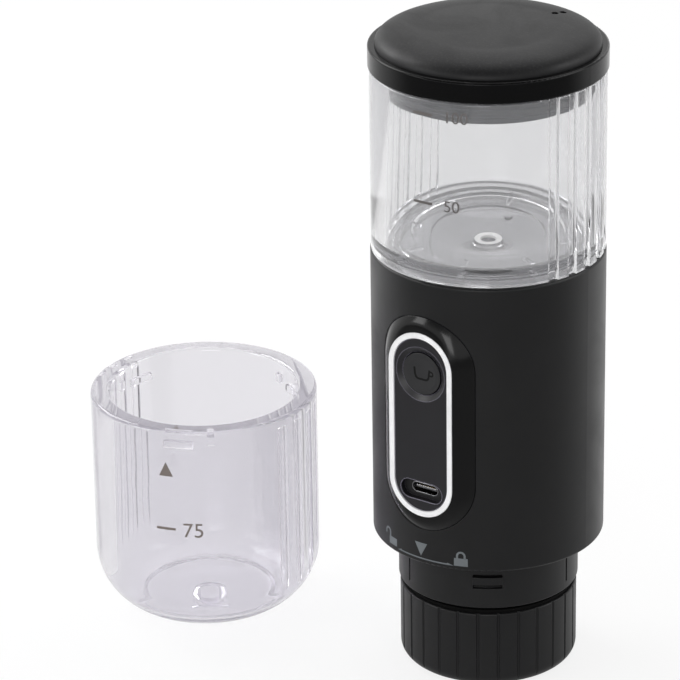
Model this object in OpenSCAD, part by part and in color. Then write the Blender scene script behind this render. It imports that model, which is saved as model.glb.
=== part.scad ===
// Portable capsule coffee machine: a clear fluted water tank with a push-in lid stands on a black
// housing, and a ribbed capsule holder screws into the neck below. The clear drinking cup, which
// locks over the neck for travel, stands beside the machine.
// Origin at the centre of the foot, +Z up, control panel facing -Y, millimetres.
// Angles round the axis count from the panel's direction (-Y) towards +X.

/* [Capsule holder] */
// Outside diameter of the holder's grip
holder_d = 50.8; // [46:0.1:51.6]
// Height of the grip
holder_h = 23.4; // [20:0.1:28]
// Shadow gap between the grip and the neck
holder_gap = 2; // [1.2:0.1:3]
// Rounding of the grip's lower edge
grip_round = 3.8; // [2:0.1:4.5]
// Thickness of the grip's floor
grip_floor = 3; // [2:0.1:4]
// Number of finger grooves round the grip
groove_count = 27; // [18:1:40]
// Width of a finger groove
groove_w = 1; // [0.6:0.1:1.6]
// Depth of a finger groove
groove_depth = 0.4; // [0.2:0.1:0.8]
// Diameter of the coffee outlet
spout_d = 7; // [5:0.1:9]
// Wall of the collar that screws into the neck
collar_wall = 2.2; // [1.6:0.1:3]

/* [Capsule] */
// Diameter of the capsule's body
capsule_d = 30; // [28:0.1:33]
// Diameter of the capsule's rim
capsule_rim_d = 37; // [35:0.1:38]
// Wall of the capsule basket
basket_wall = 1.2; // [0.8:0.1:1.6]
// Thickness of the basket's rim
basket_rim_t = 1.4; // [1:0.1:2]

/* [Neck and brew head] */
// Outside diameter of the neck
neck_d = 51.6; // [50.6:0.1:54]
// Length of the neck that shows
neck_h = 15.1; // [14:0.1:20]
// Wall of the neck
neck_wall = 2.5; // [2:0.1:3]
// Thickness of the deck that closes the housing from below
deck_t = 3.4; // [3:0.1:5]
// Thickness of the brew head
head_t = 3.6; // [3:0.1:4.5]
// Thickness of the brew seal
brew_seal_t = 1.6; // [1:0.1:2.2]
// Length of the piercing spikes
spike_l = 4.5; // [3:0.1:6]
// Number of cup lugs round the neck
lug_count = 3; // [2:1:4]
// Width of a cup lug along the neck
lug_w = 8.4; // [5:0.1:11]
// Height of a cup lug
lug_h = 2.2; // [1.4:0.1:3]
// How far a cup lug stands out of the neck
lug_proud = 0.7; // [0.3:0.1:0.9]
// Height of the lug's lower edge above the neck's lower edge
lug_rise = 7.8; // [5:0.1:9]
// Angle of the first cup lug
lug_turn = 33; // [0:1:60]

/* [Housing] */
// Outside diameter of the housing sleeve
body_d = 66; // [64:0.5:72]
// Wall of the housing sleeve
body_wall = 2.2; // [1.6:0.1:2.6]
// Rounding of the sleeve's edges
edge_round = 0.7; // [0.3:0.1:1]
// Room above the cells for the tank's socket and the inlet hose
head_room = 12.9; // [12.5:0.1:24]

/* [Control panel] */
// Width of the light ring outside
panel_w = 20.9; // [19:0.1:24]
// Length of the light ring outside
panel_l = 55.5; // [48:0.1:60]
// Height of the panel's centre above the housing's lower edge
panel_rise = 43.15; // [42:0.05:46]
// How far the panel's face stands out of the sleeve
panel_proud = 1.1; // [0.6:0.1:2]
// Width of the sloping bezel round the light ring
bezel_w = 4.6; // [3:0.1:5.4]
// Width of the light ring
ring_w = 1.6; // [1.2:0.1:2.2]
// Thickness of the control plate
plate_t = 2; // [1.6:0.1:2.6]
// Thickness of the tray behind the plate
tray_t = 2; // [1.6:0.1:2.6]
// Land left between the button's dish and the plate's edge
dish_margin = 0.7; // [0.4:0.1:1.4]
// Width of the dish's slope round the button
dish_slope = 1.6; // [0.6:0.1:2]
// How far the button sits below the centre of the panel's round upper end
button_drop = 1.9; // [0:0.1:3]
// Travel of the brew button
button_travel = 0.8; // [0.5:0.1:1]
// Distance of the charging port from the light ring's lower end
port_inset = 7.6; // [6.6:0.1:9]
// Width of the finger recess round the port
recess_w = 13.8; // [11:0.1:15]
// Height of the finger recess round the port
recess_h = 5.6; // [4.4:0.1:7]
// How far the port's mouth lies behind the plate's face
port_sink = 1.9; // [1:0.1:2.4]

/* [Water tank] */
// Height of the tank that shows between housing and lid
tank_h = 53.2; // [46:0.1:66]
// Wall of the tank
tank_wall = 3.4; // [2.8:0.1:4.2]
// How far the tank's wall lies inside the sleeve's outline
tank_inset = 0.2; // [0:0.1:0.6]
// Number of flutes on each side of the tank and the cup
flute_count = 5; // [3:1:7]
// Angle from one flute to the next
flute_pitch = 11.7; // [10:0.1:13]
// Width of a flute
flute_w = 3.1; // [2:0.1:4]
// Depth of a flute
flute_depth = 1.3; // [0.6:0.1:1.6]
// Thickness of the tank's floor
floor_t = 2; // [1.6:0.1:2.6]
// Height of the floor's outer ledge above the housing
ledge_rise = 4.6; // [4:0.1:6]
// Depth of the dish that drains to the outlet
dish_fall = 3.2; // [2:0.1:3.4]
// Diameter of the water outlet
outlet_d = 5.2; // [4:0.1:6]
// Angle that the tank turns to come free
tank_turn = 45; // [40:1:50]

/* [Lid] */
// How far the lid's rim stands out past the sleeve's outline
lid_overhang = 0.2; // [0:0.1:0.6]
// Height of the lid's rim
lid_rim_h = 6.2; // [5:0.1:8]
// Width of the step from the rim to the dome
lid_step = 1.4; // [0.8:0.1:2]
// Height of the dome above the rim
dome_h = 5.4; // [4:0.1:8]
// Crown of the dome inside its rounded edge
dome_crown = 1.3; // [0.6:0.1:2]
// Width of the dome's rounded edge
dome_edge = 9.5; // [7:0.1:13]
// Depth of the lid's plug in the tank
plug_depth = 7.4; // [6:0.1:12]
// Thickness of the lid's seal
lid_seal_w = 1.7; // [1.2:0.1:2.2]
// Diameter of the vent holes
vent_d = 2; // [0.8:0.1:2.4]

/* [Cup] */
// Height of the cup
cup_h = 68.5; // [56:0.5:80]
// Wall of the cup at its rim
cup_wall = 5.6; // [5:0.1:5.8]
// Thickness of the cup's floor
cup_floor = 4.6; // [3.6:0.1:6]
// Rounding of the cup's lower edge outside
cup_round = 19; // [14:0.5:20]
// Rounding of the cup's lower edge inside
cup_round_in = 8.5; // [6:0.5:12]
// Place of the cup beside the machine, left of it
cup_x = -87.5; // [-120:0.5:-70]
// Place of the cup beside the machine, in front of its axis
cup_y = -18.5; // [-60:0.5:40]
// Angle that the cup's front is turned from the panel's direction
cup_front = 14; // [-90:1:90]

/* [Inside] */
// Diameter of a battery cell
cell_d = 18.4; // [14:0.1:19]
// Length of a battery cell
cell_l = 65; // [50:0.5:70]
// Diameter of the pump
pump_d = 24; // [22:0.5:26]
// Height of the pump
pump_h = 16; // [14:0.5:20]
// Diameter of the pump's motor
motor_d = 19.6; // [16:0.1:21]
// Length of the pump's motor
motor_l = 30; // [24:0.5:40]
// Diameter of the pump's shaft
shaft_d = 3; // [2:0.1:3.4]
// Outside diameter of the water hoses
hose_d = 5; // [4.4:0.1:5.4]
// Bore of the water hoses
hose_bore = 3; // [2.4:0.1:3.4]
// Thickness of the carrier's plates
carrier_t = 2; // [1.6:0.1:3]

/* [Fits] */
// Gap between faces that slide or turn on each other
slip = 0.3; // [0.2:0.05:0.4]
// Gap round pieces that are pushed or glued in
fit = 0.1; // [0.05:0.01:0.15]
// Radial gap of the pump's shaft in its holes
run = 0.05; // [0.02:0.01:0.1]

/* [Hidden] */
$fn = 96;

// A cut runs this far past the face that it leaves
past = 1;
// Small roundings of moulded edges
soft = 0.5;

// Radii that other pieces share
body_r = body_d / 2;
shell_r = body_r - body_wall;
neck_r = neck_d / 2;
neck_bore = neck_r - neck_wall;
collar_r = neck_bore - slip;
holder_r = holder_d / 2;
basket_bore = capsule_d / 2 + slip;
tank_r = body_r - tank_inset;
tank_bore = tank_r - tank_wall;
lid_r = body_r + lid_overhang;
cup_tab = 1.3;
cup_r = max(body_r, neck_r + slip + cup_tab + cup_wall);
cup_bore = cup_r - cup_wall;

// Heights of the stack
link_t = 0.3;
cell_stack = carrier_t + 2 * link_t + cell_l + carrier_t;
body_h = deck_t + cell_stack + head_room;
z_neck = holder_h + holder_gap;
z_body = z_neck + neck_h;
z_deck = z_body + deck_t;
z_base = z_deck + carrier_t;
z_tank = z_body + body_h;
z_lid = z_tank + tank_h;
z_dome = z_lid + lid_rim_h;
z_head = z_body - head_t;
z_basket = z_head - brew_seal_t - slip;
z_collar = z_basket - basket_rim_t;

// Control panel, measured outwards from the axis
plate_sink = 0.2;
face_p = body_r + panel_proud;
plate_p = face_p - plate_sink;
tray_p = plate_p - plate_t;
back_p = tray_p - tray_t;
port_p = plate_p - port_sink;
port_w = 8.94;
port_h = 3.26;
port_depth = 7.4;
board_p = port_p - port_depth;
board_t = 1.6;
screw_head_t = 1;
panel_z = z_body + panel_rise;
button_z = panel_z + (panel_l - panel_w) / 2 - button_drop;
port_z = panel_z - panel_l / 2 + port_inset;
plate_w = panel_w - 2 * ring_w - 2 * fit;
plate_l = panel_l - 2 * ring_w - 2 * fit;
dish_d = plate_w - 2 * dish_margin;
button_bore = dish_d - 2 * dish_slope;
button_d = button_bore - 2 * slip;
flange_p = back_p - slip;
flange_t = 0.8;
stem_p = flange_p - flange_t - 0.6;
stem_d = 3.4;
post_d = 3.2;
post_inset = post_d / 2 + fit;
side_post = panel_w / 2 - 3;
side_drop = 4;
posts = [[0, panel_l / 2 - post_inset], [0, post_inset - panel_l / 2],
         [side_post, -side_drop], [-side_post, -side_drop]];
board_screw_d = 1.6;
board_screw_l = 3.6;

// Tank joint: a spigot with lugs turns under lips in the seat
seat_wall = 1.6;
seat_gap = slip + fit;
spigot_t = 2;
spigot_l = 4.6;
bayonet_count = 3;
bayonet_lug = 1.2;
bayonet_h = 1.6;
bayonet_w = 24;
lip_w = 2 * (tank_turn - bayonet_w / 2 - 3);
spigot_r = shell_r - fit - seat_wall - seat_gap - bayonet_lug;
seat_top = z_tank - seat_wall;
seat_bottom = z_tank - spigot_l - seat_gap - seat_wall;
nozzle_r = outlet_d / 2 + seat_wall;
nozzle_l = 9.5;
nozzle_bottom = z_tank - nozzle_l;
ring_section = 0.7;
seal_z = nozzle_bottom + 1.5;
socket_r = nozzle_r + 0.5;
socket_floor = nozzle_bottom - 1;
boss_r = socket_r + seat_wall;
boss_bottom = socket_floor - 1.4;
tank_foot = z_tank + slip / 2;
tank_top = z_lid - slip / 2;
ledge_z = z_tank + ledge_rise;
pit_z = ledge_z - dish_fall;
pit_r = nozzle_r + 0.4;
bush_t = 0.8;
bush_r = nozzle_r - 0.2;

// Lid
plug_r = tank_bore - slip / 2 - lid_seal_w;
plug_t = 1.6;
z_plug = z_lid - plug_depth;
dome_r = lid_r - lid_step;
dome_t = 1.8;
flange_r = dome_r - 3;
plug_flange_t = 1;
vent_r = 22.6;
vent_pitch = vent_d + 2 * slip;
vent_turn = 154;

// Pump and cells inside the housing
pump_r = pump_d / 2;
pump_room = 1.4;
cell_room = 1;
cell_gap = 2;
pump_y = -(board_p - board_t - screw_head_t - pump_r - pump_room);
cover_t = 3;
cover_z = z_base + pump_h;
motor_z = cover_z + cover_t;
shaft_grip = 9;
shaft_top = motor_z + shaft_grip;
pump_wall = 4.2;
cavity_r = pump_r - pump_wall;
cavity_floor = z_base + 3;
shaft_foot = z_base + 1;
throw = 1.3;
cam_r = cavity_r - throw - 1;
plunger_d = 4;
plunger_z = cavity_floor + 5;
way_d = 1.6;
barb_r = hose_bore / 2 - fit;
barb_l = 2.6;
hose_bend = hose_d / 2 + 1;
hose_x = pump_r + slip + barb_l + hose_bend;
inlet_z = cover_z - hose_d;
outlet_z = z_base + hose_d / 2 + hose_bend;
socket_hose_z = socket_floor + 1.1;
hose_y = -2;
cell_x = (cell_d + cell_gap) / 2;
cell_y = pump_y + sqrt(pow(pump_r + cell_d / 2 + cell_room, 2) - cell_x * cell_x);
pillar_d = 4.4;
pillar_ring = shell_r - pillar_d / 2 - slip;
pillars = [for (a = [105, 180, 255]) [pillar_ring * sin(a), -pillar_ring * cos(a)]];
screw_d = 2;
screw_head_d = 3.4;
screw_l = 9;
screw_sink = 0.6;

// A rectangle in the plane of a profile, with its own rounding at each corner
module slab(x0, x1, y0, y1, low_in = 0, low_out = 0, high_out = 0, high_in = 0) {
    difference() {
        translate([x0, y0]) square([x1 - x0, y1 - y0]);
        corner(x0, y0, 1, 1, low_in);
        corner(x1, y0, -1, 1, low_out);
        corner(x1, y1, -1, -1, high_out);
        corner(x0, y1, 1, -1, high_in);
    }
}

// What a rounding takes off the corner at x, y; sx and sy point into the piece
module corner(x, y, sx, sy, r) {
    if (r > 0) {
        difference() {
            translate([sx > 0 ? x - past : x - r, sy > 0 ? y - past : y - r]) square(r + past);
            translate([x + sx * r, y + sy * r]) circle(r);
        }
    }
}

// A block of a ring round the axis, centred on an angle
module arc_block(turn, width, r0, r1, z0, z1) {
    rotate([0, 0, turn - 90 - width / 2])
        rotate_extrude(angle = width) translate([r0, z0]) square([r1 - r0, z1 - z0]);
}

// A flat outline in X and Z, raised from p0 to p1 towards the front
module front_block(p0, p1) {
    translate([0, -p0, 0]) rotate([90, 0, 0]) linear_extrude(p1 - p0) children();
}

// An upright oblong with round ends
module pill(w, l) {
    square([w, l - w], center = true);
    for (s = [-1, 1]) translate([0, s * (l - w) / 2]) circle(d = w);
}

// Upright flutes on both sides of a round wall
module flute_cuts(r, z0, z1) {
    for (side = [90, 270], i = [0 : flute_count - 1]) {
        rotate([0, 0, side + (i - (flute_count - 1) / 2) * flute_pitch])
            translate([-flute_w / 2, -r - past, z0]) cube([flute_w, flute_depth + past, z1 - z0]);
    }
}

// A straight stretch of hose along +Z
module hose_run(l) {
    difference() {
        cylinder(d = hose_d, h = l);
        translate([0, 0, -past]) cylinder(d = hose_bore, h = l + 2 * past);
    }
}

// A quarter bend of hose from +Z at the origin towards +X
module hose_quarter() {
    translate([hose_bend, 0, 0]) rotate([90, 0, 180]) mirror([0, 0, 1]) rotate_extrude(angle = 90)
        translate([hose_bend, 0]) difference() {
            circle(d = hose_d);
            circle(d = hose_bore);
        }
}

// Points of an oblong's outline, o outside the light ring
function pill_outline(o, n = 16) = let (r = panel_w / 2 + o, c = (panel_l - panel_w) / 2)
    [for (s = [0, 1], i = [0 : n]) let (a = 180 * (s + i / n))
        [r * cos(a), (s == 0 ? c : -c) + r * sin(a)]];

// A bezel point: u = 0 at the sleeve, u = 1 at the panel's face, swelling between
function bezel_p(x, u) = sqrt(body_r * body_r - x * x) * (1 - u) + face_p * u + soft * sin(180 * u);

module holder_grip() {
    foot_w = 3;
    foot_h = 0.8;
    color("#1d1d1f") difference() {
        rotate_extrude() difference() {
            union() {
                slab(0, holder_r, 0, holder_h, low_out = grip_round, high_out = soft);
                slab(0, collar_r, holder_h - past, z_collar);
            }
            slab(-past, collar_r - collar_wall, grip_floor, z_collar + past);
            slab(-past, spout_d / 2, -past, grip_floor + past);
            slab(-past, holder_r - grip_round - foot_w, -past, foot_h);
        }
        for (i = [1 : groove_count]) rotate([0, 0, i * 360 / groove_count])
            translate([0, -holder_r - groove_w / 2 + groove_depth, grip_round / 2])
                cylinder(d = groove_w, h = holder_h);
    }
}

module capsule_basket() {
    drain_r = 9;
    drain_h = 0.8;
    drain_d = 1.8;
    floor_h = 2;
    rim_sink = 0.7;
    color("#c8cacc") difference() {
        rotate_extrude() difference() {
            union() {
                slab(0, basket_bore + basket_wall, grip_floor, z_basket);
                slab(0, collar_r - fit, z_collar, z_basket);
            }
            slab(-past, basket_bore, grip_floor + floor_h, z_basket + past);
            slab(-past, capsule_rim_d / 2 + slip, z_basket - rim_sink, z_basket + past);
            slab(-past, drain_r, grip_floor - past, grip_floor + drain_h);
        }
        for (i = [0 : 5]) rotate([0, 0, 60 * i]) translate([drain_r - 2 * drain_d, 0, grip_floor])
            cylinder(d = drain_d, h = floor_h + past);
        translate([0, 0, grip_floor]) cylinder(d = drain_d, h = floor_h + past);
    }
}

module holder_gasket() {
    gasket_w = 1.6;
    color("#151515") rotate_extrude()
        slab(collar_r, collar_r + gasket_w, holder_h, holder_h + holder_gap / 2);
}

module brew_neck() {
    lug_z = z_neck + lug_rise;
    lug_deg = lug_w / neck_r * 180 / PI;
    slot_depth = 1.3;
    slot_above = 0.6;
    slot_below = 1.6;
    slit_w = 0.7;
    slit_z = 2.4;
    slit_h = 9;
    color("#202022") difference() {
        union() {
            rotate_extrude() {
                slab(neck_bore, neck_r, z_neck, z_body + past, low_out = soft);
                slab(0, shell_r - fit, z_body, z_deck);
            }
            for (i = [1 : lug_count])
                arc_block(lug_turn + i * 360 / lug_count, lug_deg, neck_r - soft, neck_r + lug_proud,
                          lug_z, lug_z + lug_h);
        }
        // Moulding slots above and below each lug, and a slit half-way to the next
        for (i = [1 : lug_count]) {
            arc_block(lug_turn + i * 360 / lug_count, lug_deg, neck_r - slot_depth, neck_r + past,
                      lug_z + lug_h, lug_z + lug_h + slot_above);
            arc_block(lug_turn + i * 360 / lug_count, lug_deg, neck_r - slot_depth, neck_r + past,
                      lug_z - slot_below, lug_z);
            rotate([0, 0, lug_turn + (i + 0.5) * 360 / lug_count])
                translate([-slit_w / 2, -neck_r - past, z_neck + slit_z])
                    cube([slit_w, past + slit_w, slit_h]);
        }
        translate([hose_x, pump_y, z_body - past]) cylinder(r = barb_r + slip, h = deck_t + 2 * past);
        // Screw holes, with room below each head for the driver
        for (p = pillars) translate([p[0], p[1], 0]) {
            translate([0, 0, z_body - past]) cylinder(d = screw_d + 2 * fit, h = deck_t + 2 * past);
            translate([0, 0, z_neck - past])
                cylinder(d = screw_head_d + 2 * fit, h = neck_h + past + screw_sink + screw_head_t);
        }
    }
}

module brew_head() {
    mid = z_head + head_t / 2;
    drop_d = way_d - 2 * fit;
    color("#3a3a3d") difference() {
        union() {
            translate([0, 0, z_head]) cylinder(r = neck_bore - fit, h = head_t);
            translate([hose_x, pump_y, z_body - past])
                cylinder(r = barb_r, h = outlet_z - hose_bend - z_body);
        }
        translate([hose_x, pump_y, mid]) cylinder(d = drop_d, h = outlet_z);
        translate([0, 0, z_head - past]) cylinder(d = drop_d, h = mid - z_head + past);
        translate([0, 0, mid]) rotate([0, 90, atan2(pump_y, hose_x)]) translate([0, 0, -way_d])
            cylinder(d = way_d, h = norm([hose_x, pump_y]) + 2 * way_d);
    }
}

module needle_plate() {
    plate_h = 0.8;
    plate_r = 9;
    spike_r = 1.1;
    spike_ring = 5;
    hole_d = 2.4;
    color("silver") difference() {
        union() {
            translate([0, 0, z_head - plate_h]) cylinder(r = plate_r, h = plate_h);
            for (i = [0 : 2]) rotate([0, 0, 120 * i]) translate([0, spike_ring, z_head - plate_h - spike_l])
                cylinder(r1 = spike_r / 4, r2 = spike_r, h = spike_l + plate_h / 2);
        }
        translate([0, 0, z_head - plate_h - past]) cylinder(d = hole_d, h = plate_h + 2 * past);
    }
}

module brew_seal() {
    seal_w = 5;
    seal_r = neck_bore - 2;
    color("#6b2a20") rotate_extrude()
        slab(seal_r - seal_w, seal_r, z_head - brew_seal_t, z_head, low_in = soft, low_out = soft);
}

module deck_screws() {
    color("silver") for (p = pillars) translate([p[0], p[1], z_body + screw_sink]) {
        cylinder(d = screw_head_d, h = screw_head_t);
        cylinder(d = screw_d, h = screw_l);
    }
}

module outer_sleeve() {
    color("#222224") difference() {
        rotate_extrude() slab(shell_r, body_r, z_body, z_tank, low_out = edge_round, high_out = edge_round);
        translate([0, 0, panel_z]) front_block(0, body_r + past)
            pill(panel_w + 2 * bezel_w + 2 * fit, panel_l + 2 * bezel_w + 2 * fit);
    }
}

module tank_seat() {
    groove_r = spigot_r + bayonet_lug + seat_gap;
    lug_top = z_tank - spigot_l + bayonet_h;
    color("#2b2b2e") difference() {
        union() {
            rotate_extrude() difference() {
                union() {
                    slab(0, shell_r - fit, seat_bottom, seat_top);
                    slab(0, boss_r, boss_bottom, seat_bottom + past);
                }
                slab(spigot_r - spigot_t - seat_gap, groove_r, seat_bottom + seat_wall, seat_top + past);
                slab(-past, socket_r, socket_floor, seat_top + past);
            }
            for (i = [1 : bayonet_count])
                arc_block(i * 360 / bayonet_count, lip_w, spigot_r + seat_gap, groove_r + past / 2,
                          lug_top + slip, seat_top);
            translate([-socket_r, hose_y, socket_hose_z]) rotate([0, -90, 0])
                cylinder(r = barb_r, h = boss_r - socket_r + slip + barb_l);
        }
        translate([0, hose_y, socket_hose_z]) rotate([0, -90, 0])
            cylinder(d = way_d, h = boss_r + slip + barb_l + past);
    }
}

// The bezel is one closed band: out along its skirt, over its swelling front and back inside
module panel_bezel() {
    back = board_p + slip;
    swell = [0, 0.2, 0.4, 0.6, 0.8, 0.94];
    rim = bezel_w - 2 * fit;
    outer = pill_outline(bezel_w - fit);
    inner = pill_outline(fit);
    lap = len(outer);
    rows = concat(
        [[for (q = outer) [q[0], -back, q[1]]]],
        [for (u = swell) let (line = pill_outline(rim * (1 - u) + fit))
            [for (i = [0 : lap - 1]) [line[i][0], -bezel_p(outer[i][0], u), line[i][1]]]],
        [[for (q = inner) [q[0], -face_p, q[1]]]],
        [[for (q = inner) [q[0], -back, q[1]]]]);
    n = len(rows);
    color("#0c0c0d") translate([0, 0, panel_z]) polyhedron(
        [for (row = rows, q = row) q],
        [for (j = [0 : n - 1], i = [0 : lap - 1]) let (
            a = j * lap + i, b = j * lap + (i + 1) % lap,
            c = (j + 1) % n * lap + (i + 1) % lap, d = (j + 1) % n * lap + i)
            each [[a, c, b], [a, d, c]]]);
}

module light_ring() {
    color("white") translate([0, 0, panel_z]) front_block(tray_p, face_p + fit) difference() {
        pill(panel_w, panel_l);
        pill(panel_w - 2 * ring_w, panel_l - 2 * ring_w);
    }
}

module control_plate() {
    dish_depth = 0.9;
    color("#333338") difference() {
        translate([0, 0, panel_z]) front_block(tray_p, plate_p) pill(plate_w, plate_l);
        translate([0, 0, button_z]) {
            front_block(tray_p - past, plate_p + past) circle(d = button_bore);
            translate([0, dish_depth - plate_p, 0]) rotate([90, 0, 0])
                cylinder(d1 = button_bore, d2 = dish_d, h = dish_depth);
        }
        translate([0, 0, port_z]) front_block(tray_p - past, plate_p + past)
            rotate(90) pill(recess_h, recess_w);
    }
}

module panel_tray() {
    color("#18181a") difference() {
        union() {
            translate([0, 0, panel_z]) front_block(back_p, tray_p) pill(panel_w, panel_l);
            for (q = posts) translate([q[0], 0, panel_z + q[1]])
                front_block(board_p, back_p + past) circle(d = post_d);
        }
        translate([0, 0, button_z]) front_block(back_p - past, tray_p + past) circle(d = button_bore);
        translate([0, 0, port_z]) front_block(back_p - past, tray_p + past)
            rotate(90) pill(port_h + 2 * fit, port_w + 2 * fit);
        for (q = posts) translate([q[0], 0, panel_z + q[1]])
            front_block(board_p - past, board_p + board_screw_l + fit) circle(d = board_screw_d + 2 * run);
    }
}

module brew_button() {
    flange_w = 2 * slip;
    cap_p = plate_p - soft;
    thumb_r = 37;
    thumb_depth = 0.3;
    color("#2b2b2f") translate([0, 0, button_z]) {
        difference() {
            front_block(flange_p - past / 2, cap_p) circle(d = button_d);
            // The thumb dish in the cap
            translate([0, thumb_depth - cap_p - thumb_r, 0]) sphere(r = thumb_r, $fn = 160);
        }
        front_block(flange_p - flange_t, flange_p) circle(d = button_d + 2 * flange_w);
        front_block(stem_p, flange_p) circle(d = stem_d);
    }
}

module control_board() {
    color("#1f5d3a") translate([0, 0, panel_z]) difference() {
        front_block(board_p - board_t, board_p) square([panel_w, panel_l], center = true);
        for (q = posts) translate([q[0], 0, q[1]])
            front_block(board_p - board_t - past, board_p + past) circle(d = board_screw_d + 2 * run);
    }
}

module button_switch() {
    case_w = 6;
    top_p = stem_p - button_travel - fit;
    color("#555558") translate([0, 0, button_z]) {
        front_block(board_p, top_p - soft) square(case_w, center = true);
        front_block(board_p, top_p) circle(d = stem_d);
    }
}

module usb_port() {
    shell_t = 0.31;
    root_t = 1.4;
    root = board_p + root_t;
    tongue_w = 6.7;
    tongue_t = 0.7;
    color("silver") translate([0, 0, port_z]) {
        difference() {
            front_block(board_p, port_p) rotate(90) pill(port_h, port_w);
            front_block(root, port_p + past) rotate(90) pill(port_h - 2 * shell_t, port_w - 2 * shell_t);
        }
        front_block(root - soft, port_p - tongue_t) square([tongue_w, tongue_t], center = true);
    }
}

module board_screws() {
    color("silver") for (q = posts) translate([q[0], 0, panel_z + q[1]]) {
        front_block(board_p - board_t, board_p + board_screw_l) circle(d = board_screw_d);
        front_block(board_p - board_t - screw_head_t, board_p - board_t) circle(d = post_d);
    }
}

module cell_carrier() {
    plate_r = shell_r - slip - fit;
    top = z_base + 2 * link_t + cell_l;
    color("#e4e2da") difference() {
        union() {
            translate([0, 0, z_deck]) cylinder(r = plate_r, h = carrier_t);
            translate([0, 0, top]) intersection() {
                cylinder(r = plate_r, h = carrier_t);
                translate([-body_r, cell_y - cell_d / 2, -past])
                    cube([body_d, body_r, carrier_t + 2 * past]);
            }
            for (p = pillars) translate([p[0], p[1], z_deck])
                cylinder(d = pillar_d, h = seat_bottom - z_deck);
        }
        translate([hose_x, pump_y, z_deck - past])
            cylinder(d = hose_d + 2 * slip, h = carrier_t + 2 * past);
        for (p = pillars) translate([p[0], p[1], z_deck - past])
            cylinder(d = screw_d + 2 * run, h = screw_l + past);
    }
}

module battery_cells() {
    nub_h = 1.2;
    color("#3b6fb5") for (s = [-1, 1]) translate([s * cell_x, cell_y, z_base + link_t]) {
        cylinder(d = cell_d, h = cell_l - nub_h);
        cylinder(d = cell_d / 3, h = cell_l);
    }
}

module cell_links() {
    strap_w = 7;
    color("silver") for (z = [z_base, z_base + link_t + cell_l])
        translate([-cell_x - strap_w / 2, cell_y - strap_w / 2, z])
            cube([2 * cell_x + strap_w, strap_w, link_t]);
}

module pump_body() {
    color("#d9d9d6") translate([0, pump_y, 0]) difference() {
        union() {
            translate([0, 0, z_base]) cylinder(r = pump_r, h = pump_h);
            translate([0, 0, outlet_z]) rotate([0, 90, 0]) cylinder(r = barb_r, h = pump_r + slip + barb_l);
            translate([0, hose_y - pump_y, inlet_z]) rotate([0, -90, 0])
                cylinder(r = barb_r, h = pump_r + slip + barb_l);
        }
        translate([0, 0, cavity_floor]) cylinder(r = cavity_r, h = pump_h);
        translate([0, 0, shaft_foot]) cylinder(r = shaft_d / 2 + run, h = pump_h);
        translate([0, 0, outlet_z]) rotate([0, 90, 0]) cylinder(d = way_d, h = hose_x);
        translate([0, hose_y - pump_y, inlet_z]) rotate([0, -90, 0]) cylinder(d = way_d, h = hose_x);
        translate([0, 0, plunger_z]) rotate([90, 0, 0])
            cylinder(d = plunger_d + 2 * run, h = pump_r - past);
    }
}

module pump_plunger() {
    tip = cam_r + throw + slip;
    color("silver") translate([0, pump_y - tip, plunger_z]) rotate([90, 0, 0])
        cylinder(d = plunger_d, h = pump_r - past - slip - tip);
}

module pump_cover() {
    color("#bdbdb9") translate([0, pump_y, cover_z]) difference() {
        cylinder(r = pump_r, h = cover_t);
        translate([0, 0, -past]) cylinder(r = shaft_d / 2 + run, h = cover_t + 2 * past);
    }
}

module pump_shaft() {
    color("silver") translate([0, pump_y, 0]) {
        translate([0, 0, shaft_foot + slip]) cylinder(d = shaft_d, h = shaft_top - shaft_foot - 2 * slip);
        translate([throw, 0, cavity_floor + slip])
            cylinder(r = cam_r, h = cover_z - cavity_floor - 2 * slip);
    }
}

module pump_motor() {
    color("#9a9da1") translate([0, pump_y, motor_z]) difference() {
        rotate_extrude() slab(0, motor_d / 2, 0, motor_l, low_out = soft, high_out = soft);
        translate([0, 0, -past]) cylinder(r = shaft_d / 2 + run, h = past + shaft_top - motor_z);
    }
}

module inlet_hose() {
    fall = socket_hose_z - inlet_z - 2 * hose_bend;
    color("#e8e8ea") translate([-hose_x, hose_y, 0]) {
        translate([hose_bend, 0, socket_hose_z]) rotate([0, 90, 0])
            hose_run(hose_x - hose_bend - boss_r - slip);
        translate([0, 0, socket_hose_z - hose_bend]) hose_quarter();
        translate([0, 0, inlet_z + hose_bend]) hose_run(fall);
        translate([0, 0, inlet_z + hose_bend]) mirror([0, 0, 1]) hose_quarter();
        translate([hose_bend, 0, inlet_z]) rotate([0, 90, 0]) hose_run(barb_l);
    }
}

module outlet_hose() {
    color("#e8e8ea") translate([hose_x, pump_y, outlet_z]) {
        translate([0, 0, z_deck + slip - outlet_z]) hose_run(outlet_z - hose_bend - z_deck - slip);
        translate([0, 0, -hose_bend]) mirror([1, 0, 0]) hose_quarter();
        translate([-hose_bend - barb_l, 0, 0]) rotate([0, 90, 0]) hose_run(barb_l);
    }
}

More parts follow.
